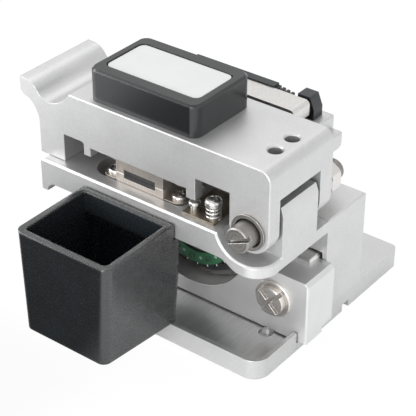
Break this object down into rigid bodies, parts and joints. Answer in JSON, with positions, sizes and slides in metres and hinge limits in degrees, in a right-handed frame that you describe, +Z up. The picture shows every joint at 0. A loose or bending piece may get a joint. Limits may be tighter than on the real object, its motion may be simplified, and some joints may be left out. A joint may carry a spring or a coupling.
{
  "type": "fibre cleaver",
  "caption": "Bench-top optical fibre cleaver with a clamping lever, sliding blade wheel and scrap bin.",
  "frame": {"origin": "centre of the rubber foot, on the surface that the cleaver stands on", "axes": "+X along the lever towards its pivot, +Y from the scrap bin to the fibre holder, +Z up"},
  "size_m": [0.0719, 0.0802, 0.0605],
  "materials": {
    "anodised_aluminium": "satin bead-blasted anodised",
    "bin_plastic": "fine texture",
    "black_plastic": "satin",
    "carbide": "lapped",
    "ceramic": "polished ceramic",
    "clamp_steel": "fine ground",
    "foot_rubber": "matt",
    "green_ring": "printed",
    "guard_steel": "dark bronze oxide",
    "nickel_steel": "nickel plate",
    "pad_rubber": "matt",
    "rail_steel": "ground",
    "screw_steel": "bright nickel plate",
    "white_panel": "gloss"
  },
  "bodies": {
    "frame": {"base_plate": "anodised_aluminium", "rubber_foot": "foot_rubber", "frame_screws": "screw_steel", "upper_frame": "anodised_aluminium", "pivot_pin": "nickel_steel", "pivot_nut": "nickel_steel", "lower_front_clamp": "clamp_steel", "lower_rear_clamp": "clamp_steel", "lower_pads": "pad_rubber", "lower_clamp_screws": "screw_steel", "guard_plate": "guard_steel", "guard_screw": "screw_steel", "spring_screw": "screw_steel", "guard_spring": "nickel_steel", "guide_rail": "rail_steel", "rail_screws": "screw_steel", "fibre_holder": "black_plastic", "holder_screws": "screw_steel"},
    "lever": {"lever_arm": "anodised_aluminium", "lever_cap": "black_plastic", "cap_panel": "white_panel", "cap_screws": "screw_steel", "ear_bushings": "nickel_steel", "anvil": "ceramic", "clamp_guide_screws": "screw_steel", "clamp_springs": "nickel_steel"},
    "floating_clamp": {"upper_clamp": "clamp_steel", "upper_pads": "pad_rubber"},
    "blade_carriage": {"carriage": "anodised_aluminium", "rail_slider": "rail_steel", "slider_screws": "screw_steel", "wheel_spindle": "nickel_steel", "adjuster_bush": "nickel_steel"},
    "blade_wheel": {"blade": "carbide", "blade_hub": "black_plastic", "clamp_washer": "rail_steel", "number_ring": "green_ring"},
    "height_screw": {"height_adjuster": "nickel_steel"},
    "lid": {"holder_lid": "anodised_aluminium", "lid_pad": "pad_rubber", "lid_insert": "black_plastic", "lid_cover": "nickel_steel"},
    "chip_bin": {"scrap_bin": "bin_plastic"}
  },
  "joints": [
    {"name": "lever_open", "type": "hinge", "parent": "frame", "child": "lever", "pos_m": [0.0258, 0, 0.0367], "axis": [0, 1, 0], "range_deg": [0, 95]},
    {"name": "clamp_float", "type": "slide", "parent": "lever", "child": "floating_clamp", "axis": [0, 0, 1], "range_m": [0, 0.0008], "stiffness_N_per_m": 1200, "springref_m": -0.0004, "deforming": ["clamp_springs"]},
    {"name": "carriage_slide", "type": "slide", "parent": "frame", "child": "blade_carriage", "axis": [-1, 0, 0], "range_m": [0, 0.0125]},
    {"name": "blade_turn", "type": "hinge", "parent": "blade_carriage", "child": "blade_wheel", "pos_m": [0.001, 0, 0.0221], "axis": [0, 1, 0], "continuous": true},
    {"name": "height_adjust", "type": "hinge", "parent": "blade_carriage", "child": "height_screw", "pos_m": [0.02435, 0, 0.01205], "axis": [0, 1, 0], "range_deg": [-90, 90]},
    {"name": "holder_lid_open", "type": "hinge", "parent": "frame", "child": "lid", "pos_m": [0.0258, 0, 0.0367], "axis": [0, 1, 0], "range_deg": [0, 95]},
    {"name": "bin_pull", "type": "slide", "parent": "frame", "child": "chip_bin", "axis": [0, -1, 0], "range_m": [0, 0.025]}
  ]
}
